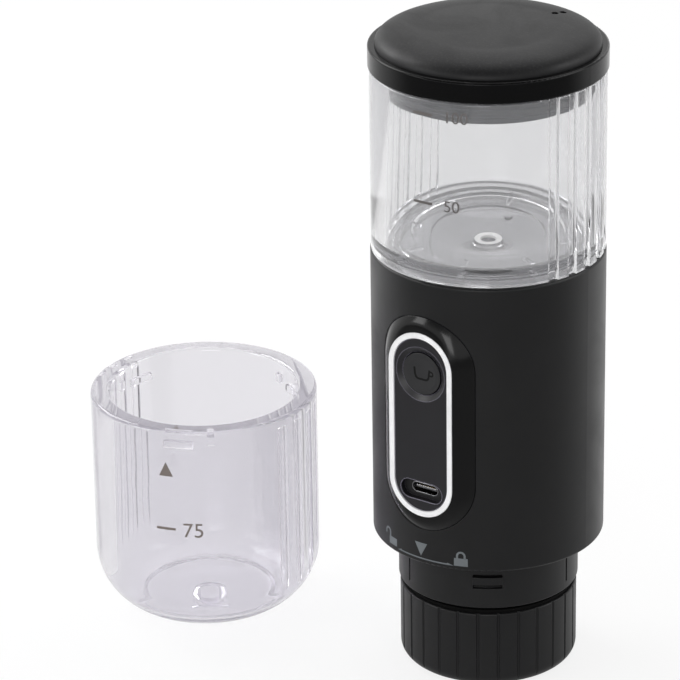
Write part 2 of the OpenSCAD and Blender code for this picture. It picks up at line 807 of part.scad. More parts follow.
module water_tank() {
    dish_r = 16;
    ledge_w = 8;
    ring_r = tank_bore - ledge_w;
    step_h = 0.9;
    gate_r = 1.3;
    gate_ring = 12;
    gate_turn = 185;
    under = ledge_z - step_h - floor_t;
    lug_bottom = z_tank - spigot_l;
    color([0.85, 0.88, 0.9, 0.4]) {
        difference() {
            rotate_extrude() difference() {
                union() {
                    slab(tank_bore, tank_r, tank_foot, tank_top, high_out = soft, high_in = soft);
                    // The floor drains from its ledge over two steps to the outlet
                    polygon([[0, pit_z], [pit_r, pit_z], [dish_r, ledge_z - step_h - slip],
                             [ring_r, ledge_z - step_h], [ring_r + soft, ledge_z],
                             [tank_bore + past, ledge_z], [tank_bore + past, under],
                             [dish_r, under], [nozzle_r, pit_z - floor_t], [0, pit_z - floor_t]]);
                    slab(spigot_r - spigot_t, spigot_r, lug_bottom, under + past / 2);
                    slab(0, nozzle_r, nozzle_bottom, pit_z - past, low_out = soft);
                }
                slab(-past, outlet_d / 2, nozzle_bottom - past, pit_z + past);
                slab(-past, bush_r, pit_z - bush_t, pit_z + past);
                slab(nozzle_r - ring_section / 2, nozzle_r + past, seal_z, seal_z + ring_section + fit);
            }
            flute_cuts(tank_r, tank_foot - past, tank_top + past);
        }
        for (i = [1 : bayonet_count])
            arc_block(i * 360 / bayonet_count, bayonet_w, spigot_r - soft, spigot_r + bayonet_lug,
                      lug_bottom, lug_bottom + bayonet_h);
        // Gate mark on the dish
        rotate([0, 0, gate_turn]) translate([0, -gate_ring, pit_z - soft])
            cylinder(r = gate_r, h = dish_fall - slip);
    }
}

module outlet_bush() {
    color("white") rotate_extrude()
        slab(outlet_d / 2 - slip, bush_r - fit / 2, pit_z - bush_t, pit_z, high_out = fit, high_in = fit);
}

module outlet_seal() {
    section_r = ring_section / 2;
    color("#151515") rotate_extrude()
        translate([nozzle_r + fit / 2, seal_z + section_r + fit / 2]) circle(section_r, $fn = 32);
}

module lid_rim() {
    color("#111112") rotate_extrude()
        slab(plug_r + fit, lid_r, z_lid, z_dome, low_out = soft, high_out = soft);
}

module lid_dome() {
    crown_r = dome_r - dome_edge;
    edge_h = dome_h - dome_crown;
    steps = 10;
    color("#3c3c3e") difference() {
        rotate_extrude() difference() {
            polygon(concat(
                [[0, z_dome]], [[dome_r, z_dome]],
                [for (i = [0 : steps]) let (a = 90 * i / steps)
                    [crown_r + dome_edge * cos(a), z_dome + edge_h * sin(a)]],
                [for (i = [1 : 6]) let (x = crown_r * (1 - i / 6))
                    [x, z_dome + edge_h + dome_crown * (1 - pow(x / crown_r, 2))]]));
            // Hollow under the crown, over the plug's flange
            slab(-past, flange_r, z_dome - past, z_dome + plug_flange_t + slip);
            slab(-past, crown_r, z_dome, z_dome + edge_h - dome_t);
        }
        for (d = [-1, 1]) rotate([0, 0, vent_turn]) translate([0, -vent_r - d * vent_pitch / 2, z_dome])
            cylinder(d = vent_d, h = dome_h + past);
    }
}

module lid_plug() {
    color("#4a4a50") difference() {
        rotate_extrude() difference() {
            union() {
                slab(0, plug_r, z_plug, z_dome, low_out = soft);
                slab(0, flange_r - slip, z_dome, z_dome + plug_flange_t);
            }
            slab(-past, plug_r - plug_t, z_plug + plug_t, z_dome + plug_flange_t + past);
        }
        rotate([0, 0, vent_turn]) translate([0, -vent_r, z_plug - past])
            cylinder(d = vent_d, h = plug_t + 2 * past);
    }
}

module lid_seal() {
    lips = 3;
    seal_h = plug_depth - 1;
    lip_step = seal_h / lips;
    lip_h = 0.9;
    color("#8d8f9b") rotate_extrude() {
        slab(plug_r, plug_r + lid_seal_w - soft, z_lid - seal_h, z_lid);
        for (i = [1 : lips]) let (z = z_lid - (i - 0.5) * lip_step)
            slab(plug_r, plug_r + lid_seal_w, z - lip_h / 2, z + lip_h / 2,
                 low_out = slip, high_out = slip);
    }
}

module coffee_cup() {
    rim_round = 1.2;
    rim_band = 3;
    tab_turn = 25;
    tab_deg = 17;
    tab_h = 2;
    tab_drop = 7;
    tab_z = cup_h - tab_drop;
    stop_deg = 4;
    stop_h = 3.6;
    well_r = cup_bore - cup_round_in;
    well_h = 0.5;
    foot_r = cup_r - cup_round;
    foot_w = 2;
    foot_h = 0.6;
    gate_r = 5;
    gate_h = 1.4;
    color([0.86, 0.86, 0.9, 0.4]) translate([cup_x, cup_y, 0]) rotate([0, 0, cup_front]) {
        difference() {
            rotate_extrude() difference() {
                slab(0, cup_r, 0, cup_h, low_out = cup_round, high_out = rim_round);
                slab(-cup_round_in, cup_bore, cup_floor, cup_h + past, low_out = cup_round_in);
                difference() {
                    slab(cup_bore - past, cup_bore + rim_round, cup_h - rim_round, cup_h + past);
                    translate([cup_bore + rim_round, cup_h - rim_round]) circle(rim_round);
                }
                // Shallow well in the floor, ring to stand on, and the moulding's gate dimple
                slab(-past, well_r, cup_floor - well_h, cup_floor + past, low_out = slip);
                slab(-past, foot_r - foot_w, -past, foot_h);
                slab(-past, gate_r, -past, gate_h);
            }
            flute_cuts(cup_r, cup_round / 4, cup_h - rim_band);
        }
        // Bayonet tabs that ride over the neck's lugs, each with its stop
        for (i = [1 : lug_count]) {
            turn = tab_turn + i * 360 / lug_count;
            arc_block(turn, tab_deg, neck_r + slip, cup_bore + past / 2, tab_z, tab_z + tab_h);
            arc_block(turn + (tab_deg - stop_deg) / 2 - soft, stop_deg, neck_r + slip + fit,
                      cup_bore + past / 3, tab_z + tab_h / 2, tab_z + stop_h);
        }
    }
}

holder_grip();
capsule_basket();
holder_gasket();
brew_neck();
brew_head();
needle_plate();
brew_seal();
deck_screws();
outer_sleeve();
tank_seat();
panel_bezel();
light_ring();
control_plate();
panel_tray();
brew_button();
control_board();
button_switch();
usb_port();
board_screws();
cell_carrier();
battery_cells();
cell_links();
pump_body();
pump_plunger();
pump_cover();
pump_shaft();
pump_motor();
inlet_hose();
outlet_hose();
water_tank();
outlet_bush();
outlet_seal();
lid_rim();
lid_dome();
lid_plug();
lid_seal();
coffee_cup();
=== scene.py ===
import math

import bpy
from mathutils import Matrix, Vector


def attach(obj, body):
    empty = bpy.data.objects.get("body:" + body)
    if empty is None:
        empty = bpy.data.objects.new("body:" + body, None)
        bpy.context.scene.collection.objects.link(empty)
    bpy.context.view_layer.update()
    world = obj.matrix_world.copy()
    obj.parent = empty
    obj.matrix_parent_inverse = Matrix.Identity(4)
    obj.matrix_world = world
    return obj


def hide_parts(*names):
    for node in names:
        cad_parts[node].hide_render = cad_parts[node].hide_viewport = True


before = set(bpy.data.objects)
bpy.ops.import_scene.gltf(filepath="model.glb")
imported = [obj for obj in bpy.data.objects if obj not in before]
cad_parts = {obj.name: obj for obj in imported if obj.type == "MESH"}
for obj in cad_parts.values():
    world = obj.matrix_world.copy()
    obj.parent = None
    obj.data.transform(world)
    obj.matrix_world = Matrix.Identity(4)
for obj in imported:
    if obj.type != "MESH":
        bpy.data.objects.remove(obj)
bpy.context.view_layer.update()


# Studio
# A white table with a soft box behind the machine, one each side and two small ones in front.
# The table keeps a faint shadow; rays that look past the machine find a white room.
MM = 0.001
PHOTO = 680
FOCAL_PX = 4060.3
AXIS_PX = 488.4
CAMERA_TURN = math.radians(33.5)
CAMERA_PITCH = 0.409
CAMERA_AWAY = 1050.1 * MM
CAMERA_HIGH = 552.33 * MM
LAMP_AIM = Vector((0, 0, 90 * MM))
TABLE_SIZE = 8
WHITE = (1, 1, 1, 1)

bpy.ops.object.select_all(action="DESELECT")
bpy.ops.object.camera_add(
    location=(CAMERA_AWAY * math.sin(CAMERA_TURN), -CAMERA_AWAY * math.cos(CAMERA_TURN), CAMERA_HIGH),
    rotation=(math.pi / 2 - CAMERA_PITCH, 0, CAMERA_TURN))
camera = bpy.context.object
camera.data.sensor_width = 36
camera.data.lens = FOCAL_PX * camera.data.sensor_width / PHOTO
camera.data.shift_x = (PHOTO / 2 - AXIS_PX) / PHOTO
camera.data.clip_end = 20
scene = bpy.context.scene
scene.camera = camera
scene.view_settings.view_transform = "Standard"


def soft_box(name, azimuth, elevation, away, size, power):
    """A square lamp that faces the middle of the machine."""
    a, e = math.radians(azimuth), math.radians(elevation)
    out = Vector((math.sin(a) * math.cos(e), -math.cos(a) * math.cos(e), math.sin(e)))
    bpy.ops.object.light_add(type="AREA", location=LAMP_AIM + out * away)
    lamp = bpy.context.object
    lamp.name = name
    lamp.rotation_euler = out.to_track_quat("Z", "Y").to_euler()
    lamp.data.size = size
    lamp.data.energy = power


soft_box("back_box", azimuth=205, elevation=58, away=1.1, size=0.8, power=3.2)
soft_box("left_box", azimuth=-90, elevation=36, away=1.1, size=0.6, power=6.5)
soft_box("right_box", azimuth=125, elevation=35, away=1.1, size=0.5, power=2.8)
soft_box("front_left_box", azimuth=-36, elevation=24, away=1.2, size=0.45, power=2.6)
soft_box("front_right_box", azimuth=24, elevation=14, away=1.2, size=0.45, power=2.4)


def node_in(tree, kind, **values):
    """A new node with its settings and unlinked inputs."""
    made = tree.nodes.new(kind)
    for key, value in values.items():
        if hasattr(made, key) and key not in made.inputs:
            setattr(made, key, value)
        else:
            made.inputs[key].default_value = value
    return made


def ranged(tree, source, low, high, start, end):
    """A value spread from one range to another, held at both ends."""
    made = node_in(tree, "ShaderNodeMapRange")
    tree.links.new(source, made.inputs[0])
    for slot, value in enumerate((low, high, start, end), 1):
        made.inputs[slot].default_value = value
    return made.outputs[0]


def reckoned(tree, operation, first, second):
    """A sum, a product or a choice of two outputs, held between 0 and 1."""
    made = node_in(tree, "ShaderNodeMath", operation=operation, use_clamp=True)
    tree.links.new(first, made.inputs[0])
    tree.links.new(second, made.inputs[1])
    return made.outputs[0]


def chosen(tree, mask, first, second):
    """One shader where the mask is 0 and another where it is 1."""
    made = node_in(tree, "ShaderNodeMixShader")
    for slot, source in enumerate((mask, first, second)):
        tree.links.new(source, made.inputs[slot])
    return made.outputs[0]


def seen_rays(tree):
    """Two masks: rays that look straight or through a clear wall, and rays that a surface mirrors."""
    path = node_in(tree, "ShaderNodeLightPath").outputs
    through = ranged(tree, path["Transmission Depth"], 0, 1, 0, 1)
    through = reckoned(tree, "SUBTRACT", through, path["Is Diffuse Ray"])
    looks = reckoned(tree, "MAXIMUM", path["Is Camera Ray"], through)
    return looks, reckoned(tree, "SUBTRACT", path["Is Glossy Ray"], looks)


def finish_of(name):
    """A material with an empty tree and its output: the material, its tree and the surface input."""
    material = bpy.data.materials.new(name)
    material.use_nodes = True
    material.node_tree.nodes.clear()
    end = node_in(material.node_tree, "ShaderNodeOutputMaterial")
    return material, material.node_tree, end.inputs["Surface"]


# Mirrored rays find the white backdrop near the table and a dimmer room above it
FILL_LIGHT, ROOM_LIGHT = 0.42, 1.0
BACKDROP_FADES, BACKDROP_GLOW = (0.3, 0.65), (1.0, 0.12)
world = bpy.data.worlds.new("white_room")
scene.world = world
world.use_nodes = True
tree = world.node_tree
tree.nodes.clear()
looks, mirrors = seen_rays(tree)
fill = node_in(tree, "ShaderNodeBackground", Color=WHITE, Strength=FILL_LIGHT)
room = node_in(tree, "ShaderNodeBackground", Color=WHITE, Strength=ROOM_LIGHT)
backdrop = node_in(tree, "ShaderNodeBackground", Color=WHITE)
height = node_in(tree, "ShaderNodeSeparateXYZ")
tree.links.new(node_in(tree, "ShaderNodeTexCoord").outputs["Generated"], height.inputs[0])
fading = ranged(tree, height.outputs[2], *BACKDROP_FADES, *BACKDROP_GLOW)
tree.links.new(fading, backdrop.inputs["Strength"])
whole = chosen(tree, mirrors, fill.outputs[0], backdrop.outputs[0])
whole = chosen(tree, looks, whole, room.outputs[0])
tree.links.new(whole, node_in(tree, "ShaderNodeOutputWorld").inputs[0])

# In a mirrored ray the paper fades towards the front, where the studio is dark. Its shadow stays
# near the machine, and it is plain white further out. Both fades are given in metres.
PAPER_FADES, PAPER_GLOW = (-0.12, 0.1), (1.0, 0.28)
SHADOW_FADES, SHADOW_LIFT = (0.25, 0.8), (0.82, 1.0)
bpy.ops.mesh.primitive_plane_add(size=TABLE_SIZE)
table = bpy.context.object
table.name = "white_table"
paper, tree, surface = finish_of("white_paper")
looks, mirrors = seen_rays(tree)
shown = reckoned(tree, "MAXIMUM", looks, mirrors)
sheet = node_in(tree, "ShaderNodeBsdfDiffuse", Color=(0.9, 0.9, 0.9, 1))
glow = node_in(tree, "ShaderNodeEmission", Color=WHITE, Strength=1.0)
mirrored = node_in(tree, "ShaderNodeEmission", Color=WHITE)
place = node_in(tree, "ShaderNodeTexCoord").outputs["Object"]
forward = node_in(tree, "ShaderNodeVectorMath", operation="DOT_PRODUCT")
forward.inputs[1].default_value = (math.sin(CAMERA_TURN), -math.cos(CAMERA_TURN), 0)
tree.links.new(place, forward.inputs[0])
fading = ranged(tree, forward.outputs["Value"], *PAPER_FADES, *PAPER_GLOW)
tree.links.new(fading, mirrored.inputs["Strength"])
bright = chosen(tree, mirrors, glow.outputs[0], mirrored.outputs[0])
away = node_in(tree, "ShaderNodeVectorMath", operation="LENGTH")
tree.links.new(place, away.inputs[0])
share = ranged(tree, away.outputs["Value"], *SHADOW_FADES, *SHADOW_LIFT)
lifted = chosen(tree, reckoned(tree, "MULTIPLY", shown, share), sheet.outputs[0], bright)
tree.links.new(lifted, surface)
table.data.materials.append(paper)


# Capsule holder
# The ribbed knob that screws into the neck, moulded in black plastic with a fine spark-eroded
# grain; inside it a drawn steel basket for the capsule, above it a rubber ring.
def group_tree(name, inputs, outputs):
    """A new node group with named sockets: the tree, its way in and its way out."""
    made = bpy.data.node_groups.new(name, "ShaderNodeTree")
    for label, value in inputs.items():
        socket = made.interface.new_socket(name=label, in_out="INPUT", socket_type="NodeSocketFloat")
        socket.default_value = value
    for label, kind in outputs.items():
        made.interface.new_socket(name=label, in_out="OUTPUT", socket_type=kind)
    return made, node_in(made, "NodeGroupInput"), node_in(made, "NodeGroupOutput")


def mixed(tree, mask, first, second):
    """A colour that turns into another by a mask; each is a colour or an output."""
    made = node_in(tree, "ShaderNodeMix", data_type="RGBA")
    tree.links.new(mask, made.inputs[0])
    for slot, value in ((6, first), (7, second)):
        if isinstance(value, tuple):
            made.inputs[slot].default_value = value
        else:
            tree.links.new(value, made.inputs[slot])
    return made.outputs[2]


def noise_in(tree, **values):
    """A noise texture laid out in the part's own frame."""
    made = node_in(tree, "ShaderNodeTexNoise", **values)
    tree.links.new(node_in(tree, "ShaderNodeTexCoord").outputs["Object"], made.inputs["Vector"])
    return made


FLOAT, VECTOR = "NodeSocketFloat", "NodeSocketVector"

# The grain that spark erosion leaves in a mould, and the cloudiness of the plastic in it
mould_grain, way_in, way_out = group_tree(
    "mould_grain", {"Grain": 2600.0}, {"Height": FLOAT, "Cloud": FLOAT})
pits = noise_in(mould_grain, Detail=2.0, Roughness=0.65)
mould_grain.links.new(way_in.outputs[0], pits.inputs["Scale"])
mould_grain.links.new(pits.outputs[0], way_out.inputs["Height"])
clouds = noise_in(mould_grain, Scale=85.0, Detail=4.0, Roughness=0.7)
cloudy = ranged(mould_grain, clouds.outputs[0], 0.3, 0.7, 0, 1)
mould_grain.links.new(cloudy, way_out.inputs["Cloud"])

# The small rounding that every moulded edge has, and a mask of its edges that the materials paint
# lighter, partly as wear and partly as a painted highlight
soft_edges, way_in, way_out = group_tree(
    "soft_edges", {"Rounding": 0.0003}, {"Normal": VECTOR, "Edge": FLOAT})
bevel = node_in(soft_edges, "ShaderNodeBevel", samples=6)
soft_edges.links.new(way_in.outputs[0], bevel.inputs["Radius"])
soft_edges.links.new(bevel.outputs[0], way_out.inputs["Normal"])
plain = node_in(soft_edges, "ShaderNodeNewGeometry")
turn = node_in(soft_edges, "ShaderNodeVectorMath", operation="DOT_PRODUCT")
soft_edges.links.new(bevel.outputs[0], turn.inputs[0])
soft_edges.links.new(plain.outputs["Normal"], turn.inputs[1])
worn_and_highlit_edges = ranged(soft_edges, turn.outputs["Value"], 0.998, 0.93, 0, 1)
soft_edges.links.new(worn_and_highlit_edges, way_out.inputs["Edge"])

# Finger marks, and the dust that settles on what faces up
handling, way_in, way_out = group_tree("handling", {"Dust": 0.05}, {"Smudge": FLOAT, "Dust": FLOAT})
touch = noise_in(handling, Scale=38.0, Detail=5.0, Roughness=0.6, Distortion=1.2)
smudged = ranged(handling, touch.outputs[0], 0.42, 0.72, 0, 1)
handling.links.new(smudged, way_out.inputs["Smudge"])
specks = noise_in(handling, Scale=1500.0, Detail=3.0, Roughness=0.75)
faces = node_in(handling, "ShaderNodeNewGeometry")
upward = node_in(handling, "ShaderNodeSeparateXYZ")
handling.links.new(faces.outputs["Normal"], upward.inputs[0])
specked = ranged(handling, specks.outputs[0], 0.5, 0.8, 0, 1)
settled = reckoned(handling, "MULTIPLY", specked, ranged(handling, upward.outputs[2], 0.2, 1, 0, 1))
amount = reckoned(handling, "MULTIPLY", settled, way_in.outputs[0])
handling.links.new(amount, way_out.inputs["Dust"])


def shade(colour, factor):
    """A colour made lighter or darker, as a socket takes it."""
    return tuple(min(1.0, c * factor) for c in colour[:3]) + (1.0,)


DUST_GREY = (0.45, 0.44, 0.42, 1)
SMUDGE_DULLS = 1.25


def moulded(name, colour, rough, gloss=0.5, grain=2600.0, relief=12e-6, rounding=0.3, edge_wear_and_highlight=1.5,
            dust=0.05):
    """Moulded plastic or rubber: grained, round on its edges, a little handled and dusty; its edges are
    painted lighter, partly as wear and partly as a painted highlight.
    """
    material, tree, surface = finish_of(name)
    link = tree.links.new
    skin = node_in(tree, "ShaderNodeBsdfPrincipled")
    skin.inputs["Specular IOR Level"].default_value = gloss
    fine = node_in(tree, "ShaderNodeGroup", node_tree=mould_grain, Grain=grain)
    edges = node_in(tree, "ShaderNodeGroup", node_tree=soft_edges, Rounding=rounding * MM)
    used = node_in(tree, "ShaderNodeGroup", node_tree=handling, Dust=dust)
    tone = mixed(tree, fine.outputs["Cloud"], shade(colour, 0.9), shade(colour, 1.1))
    # Edges painted lighter: partly wear, partly a painted highlight
    tone = mixed(tree, edges.outputs["Edge"], tone, shade(colour, edge_wear_and_highlight))
    link(mixed(tree, used.outputs["Dust"], tone, DUST_GREY), skin.inputs["Base Color"])
    dulled = ranged(tree, used.outputs["Smudge"], 0, 1, rough, rough * SMUDGE_DULLS)
    link(dulled, skin.inputs["Roughness"])
    bump = node_in(tree, "ShaderNodeBump", Strength=1.0, Distance=relief)
    link(fine.outputs["Height"], bump.inputs["Height"])
    link(edges.outputs["Normal"], bump.inputs["Normal"])
    link(bump.outputs[0], skin.inputs["Normal"])
    link(skin.outputs[0], surface)
    return material


LINE_RELIEF = 3e-6


def drawn_metal(name, colour, rough, along=(1, 1, 0.02), edge_wear_and_highlight=1.15):
    """Bright metal with the fine lines of rolling, drawing or turning, its edges painted lighter as wear
    and a painted highlight.
    """
    material, tree, surface = finish_of(name)
    link = tree.links.new
    skin = node_in(tree, "ShaderNodeBsdfPrincipled", Metallic=1.0)
    stretch = node_in(tree, "ShaderNodeMapping", Scale=along)
    link(node_in(tree, "ShaderNodeTexCoord").outputs["Object"], stretch.inputs["Vector"])
    lines = node_in(tree, "ShaderNodeTexNoise", Scale=4000.0, Detail=3.0, Roughness=0.7)
    link(stretch.outputs[0], lines.inputs["Vector"])
    edges = node_in(tree, "ShaderNodeGroup", node_tree=soft_edges)
    used = node_in(tree, "ShaderNodeGroup", node_tree=handling)
    tone = mixed(tree, lines.outputs[0], shade(colour, 0.85), shade(colour, 1.1))
    # Edges painted lighter: partly wear, partly a painted highlight
    link(mixed(tree, edges.outputs["Edge"], tone, shade(colour, edge_wear_and_highlight)), skin.inputs["Base Color"])
    link(ranged(tree, used.outputs["Smudge"], 0, 1, rough, rough + 0.12), skin.inputs["Roughness"])
    bump = node_in(tree, "ShaderNodeBump", Strength=1.0, Distance=LINE_RELIEF)
    link(lines.outputs[0], bump.inputs["Height"])
    link(edges.outputs["Normal"], bump.inputs["Normal"])
    link(bump.outputs[0], skin.inputs["Normal"])
    link(skin.outputs[0], surface)
    return material


def dress(material, *names):
    """Gives CAD nodes their finish."""
    for name in names:
        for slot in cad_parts[name].material_slots:
            slot.material = material


grip_black = moulded("grip_black", (0.007, 0.007, 0.0075), 0.36, gloss=0.33, relief=8e-6,
                     rounding=0.25, edge_wear_and_highlight=2.2)
dress(grip_black, "holder_grip")
basket_steel = drawn_metal("basket_steel", (0.55, 0.56, 0.57), 0.24)
dress(basket_steel, "capsule_basket")
ring_rubber = moulded("ring_rubber", (0.003, 0.003, 0.003), 0.75, gloss=0.1, grain=3600.0,
                      rounding=0.15, dust=0.0)
dress(ring_rubber, "holder_gasket", "outlet_seal")


# Neck and brew head
# The neck and the deck above it are one black moulding with lugs for the cup. The brew head, its
# steel spikes and its red silicone ring sit in it, and three steel screws come up through the deck.
body_black = moulded("body_black", (0.0065, 0.0065, 0.007), 0.37, gloss=0.36, relief=8e-6,
                     rounding=0.25, edge_wear_and_highlight=2.0)
dress(body_black, "brew_neck")
filled_black = moulded("filled_black", (0.013, 0.013, 0.014), 0.55, gloss=0.4, grain=1800.0,
                       relief=16e-6)
dress(filled_black, "brew_head", "panel_tray", "button_switch")
bright_steel = drawn_metal("bright_steel", (0.6, 0.61, 0.62), 0.2)
dress(bright_steel, "needle_plate", "deck_screws", "board_screws", "cell_links", "pump_plunger",
      "pump_shaft")
red_silicone = moulded("red_silicone", (0.22, 0.03, 0.022), 0.5, gloss=0.35, rounding=0.4, edge_wear_and_highlight=1.1)
dress(red_silicone, "brew_seal")


# Pump, cells and hoses
# A carrier of natural plastic holds two wrapped cells with welded straps and a small pressure pump
# with its zinc-plated motor; pale silicone hoses push over barbs between tank, pump and brew head.
BAND_FROM, BAND_TO = 107.5, 107.8
natural_plastic = moulded("natural_plastic", (0.66, 0.645, 0.59), 0.5, relief=14e-6, edge_wear_and_highlight=1.05,
                          dust=0.0)
dress(natural_plastic, "cell_carrier", "pump_body", "pump_cover")
zinc_can = drawn_metal("zinc_can", (0.42, 0.43, 0.44), 0.32, along=(0.02, 0.02, 1))
dress(zinc_can, "pump_motor")
hose_silicone = moulded("hose_silicone", (0.72, 0.73, 0.74), 0.35, gloss=0.4, rounding=0.5, edge_wear_and_highlight=1.05,
                        dust=0.0)
dress(hose_silicone, "inlet_hose", "outlet_hose")

cell_wrap, tree, surface = finish_of("cell_wrap")
skin = node_in(tree, "ShaderNodeBsdfPrincipled")
rise = node_in(tree, "ShaderNodeSeparateXYZ")
tree.links.new(node_in(tree, "ShaderNodeTexCoord").outputs["Object"], rise.inputs[0])
band = ranged(tree, rise.outputs[2], BAND_FROM * MM, BAND_TO * MM, 0, 1)
wrinkles = node_in(tree, "ShaderNodeGroup", node_tree=mould_grain)
film = mixed(tree, wrinkles.outputs["Cloud"], (0.04, 0.13, 0.36, 1), (0.055, 0.17, 0.44, 1))
tree.links.new(mixed(tree, band, film, (0.62, 0.62, 0.6, 1)), skin.inputs["Base Color"])
marks = node_in(tree, "ShaderNodeGroup", node_tree=handling)
tree.links.new(ranged(tree, marks.outputs["Smudge"], 0, 1, 0.22, 0.36), skin.inputs["Roughness"])
tree.links.new(skin.outputs[0], surface)
dress(cell_wrap, "battery_cells")


# Housing sleeve
# The black tube of the housing, moulded with a fine grain, with the lock signs for the cup printed
# in grey at its lower edge: open lock, arrow, closed lock, and a thin line with half barbs below.
SLEEVE_R = 33.0
SIGN_ROW = 42.0
LOCK_TOP = SIGN_ROW + 2.4
SHUT_X, OPEN_X, ARROW_X = 11.5, -12.3, -0.9
SHACKLE_W = 0.6
dress(body_black, "outer_sleeve")


def joined(pieces):
    """Several pieces as one, under the name of the last."""
    bpy.ops.object.select_all(action="DESELECT")
    for one in pieces:
        one.select_set(True)
    bpy.context.view_layer.objects.active = pieces[-1]
    bpy.ops.object.join()
    return pieces[-1]


def inked(outlines):
    """Flat outlines in millimetres, filled and joined in one sheet."""
    sheets = []
    for outline in outlines:
        bpy.ops.object.select_all(action="DESELECT")
        bpy.ops.mesh.primitive_circle_add(vertices=len(outline), fill_type="NGON")
        sheets.append(bpy.context.object)
        for vertex, (x, y) in zip(sheets[-1].data.vertices, outline):
            vertex.co = (x, y, 0)
    return joined(sheets)


def block(x0, y0, x1, y1):
    """The outline of a rectangle, from its lower left corner to its upper right one."""
    return [(x0, y0), (x1, y0), (x1, y1), (x0, y1)]


def ribbon(points, width):
    """The outline of a stroke along points, square at both ends."""
    left, right = [], []
    for i, point in enumerate(points):
        back = Vector(points[max(i - 1, 0)])
        on = Vector(points[min(i + 1, len(points) - 1)])
        along = (on - back).normalized() * width / 2
        left.append((point[0] - along.y, point[1] + along.x))
        right.append((point[0] + along.y, point[1] - along.x))
    return left + right[::-1]


def arc(x, y, radius, start, end, steps=12):
    """Points on an arc, in degrees."""
    turns = [math.radians(start + (end - start) * i / steps) for i in range(steps + 1)]
    return [(x + radius * math.cos(a), y + radius * math.sin(a)) for a in turns]


def faced_out():
    """Turns all faces of the active piece outwards."""
    bpy.ops.object.mode_set(mode="EDIT")
    bpy.ops.mesh.select_all(action="SELECT")
    bpy.ops.mesh.normals_make_consistent(inside=False)
    bpy.ops.object.mode_set(mode="OBJECT")


def picked(piece):
    """Makes a piece the only one selected, and the active one."""
    bpy.ops.object.select_all(action="DESELECT")
    piece.select_set(True)
    bpy.context.view_layer.objects.active = piece


def laid(piece, name, lie, film=0.03, strip=0.6):
    """Cuts a flat sheet in strips, gives it a film's thickness and lays it on a surface."""
    piece.name = name
    picked(piece)
    xs = [v.co.x for v in piece.data.vertices]
    bpy.ops.object.mode_set(mode="EDIT")
    for i in range(1, int((max(xs) - min(xs)) / strip) + 1):
        bpy.ops.mesh.select_all(action="SELECT")
        bpy.ops.mesh.bisect(plane_co=(min(xs) + i * strip, 0, 0), plane_no=(1, 0, 0))
    bpy.ops.object.mode_set(mode="OBJECT")
    faced_out()
    bpy.ops.object.modifier_add(type="SOLIDIFY")
    piece.modifiers[-1].thickness = film
    piece.modifiers[-1].offset = 0
    bpy.ops.object.modifier_apply(modifier=piece.modifiers[-1].name)
    for vertex in piece.data.vertices:
        vertex.co = Vector(lie(*vertex.co)) * MM
    faced_out()
    return piece


def round_wall(radius, turn=0.0, axis=(0.0, 0.0)):
    """Lays a sheet round an upright wall: x runs along the wall from an angle, y upwards."""
    def lie(x, y, t):
        a = math.radians(turn) + x / radius
        return axis[0] + (radius + t) * math.sin(a), axis[1] - (radius + t) * math.cos(a), y
    return lie


def ink(name, colour, rough=0.45, gloss=0.3):
    """Pad-printed ink, a little uneven."""
    return moulded(name, colour, rough, gloss, grain=1400.0, relief=4e-6, rounding=0.02, edge_wear_and_highlight=1.0,
                   dust=0.0)


def fitted(piece, body, material, slot, *nodes):
    """Hands a finished piece to its body, with its material and the nodes it stands for."""
    piece.data.materials.clear()
    piece.data.materials.append(material)
    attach(piece, body)
    if nodes:
        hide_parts(*nodes)


shut_shackle = [(SHUT_X + 1.1, LOCK_TOP - 0.3)] + arc(SHUT_X, LOCK_TOP + 0.75, 1.1, 0, 180)
shut_shackle.append((SHUT_X - 1.1, LOCK_TOP - 0.3))
open_shackle = [(OPEN_X - 1.2, LOCK_TOP)] + arc(OPEN_X - 2.25, LOCK_TOP + 1.5, 1.05, 0, 180)
open_shackle.append((OPEN_X - 3.3, LOCK_TOP + 0.7))
signs = inked([
    block(SHUT_X - 2, SIGN_ROW, SHUT_X + 2, LOCK_TOP),
    ribbon(shut_shackle, SHACKLE_W),
    block(OPEN_X - 1.7, SIGN_ROW + 0.4, OPEN_X + 1.9, LOCK_TOP + 0.3),
    ribbon(open_shackle, SHACKLE_W),
    [(ARROW_X - 2.1, SIGN_ROW + 4.9), (ARROW_X + 2.1, SIGN_ROW + 4.9), (ARROW_X, SIGN_ROW + 0.9)],
    [(-10.0, SIGN_ROW - 0.1), (9.4, SIGN_ROW - 0.1), (7.6, SIGN_ROW + 0.55), (7.2, SIGN_ROW + 0.3),
     (-8.2, SIGN_ROW + 0.3), (-8.4, SIGN_ROW + 0.6)],
])
sign_grey = ink("sign_grey", (0.14, 0.155, 0.165))
fitted(laid(signs, "lock_signs", round_wall(SLEEVE_R)), "machine", sign_grey, "black_body")


# Control panel
# A dark plate in a white light ring, with a dished button and a charging socket, set in a glossy
# black surround that swells out of the sleeve. Behind it a tray carries the circuit board.
PANEL_Z, PANEL_W, END_Z, BEZEL_W, FIT = 83.65, 20.9, 17.3, 4.6, 0.1
FACE_OUT, BEZEL_BACK = 34.1, 24.9
BEZEL_ROWS, BEZEL_LIP, BEZEL_SWELL = 16, 0.97, 0.5
BUTTON_Z, CAP_OUT, THUMB_R, THUMB_DEPTH = 99.05, 33.4, 37.0, 0.3
PORT_Z, PORT_OUT = 63.5, 32.0
CONTACTS, CONTACT_PITCH, CONTACT_SINK, CONTACT_RISE = 8, 0.75, 2.6, 0.37
CONTACT_W, CONTACT_L, CONTACT_T, CONTACT_ROUND = 0.3, 3.4, 0.06, 0.02

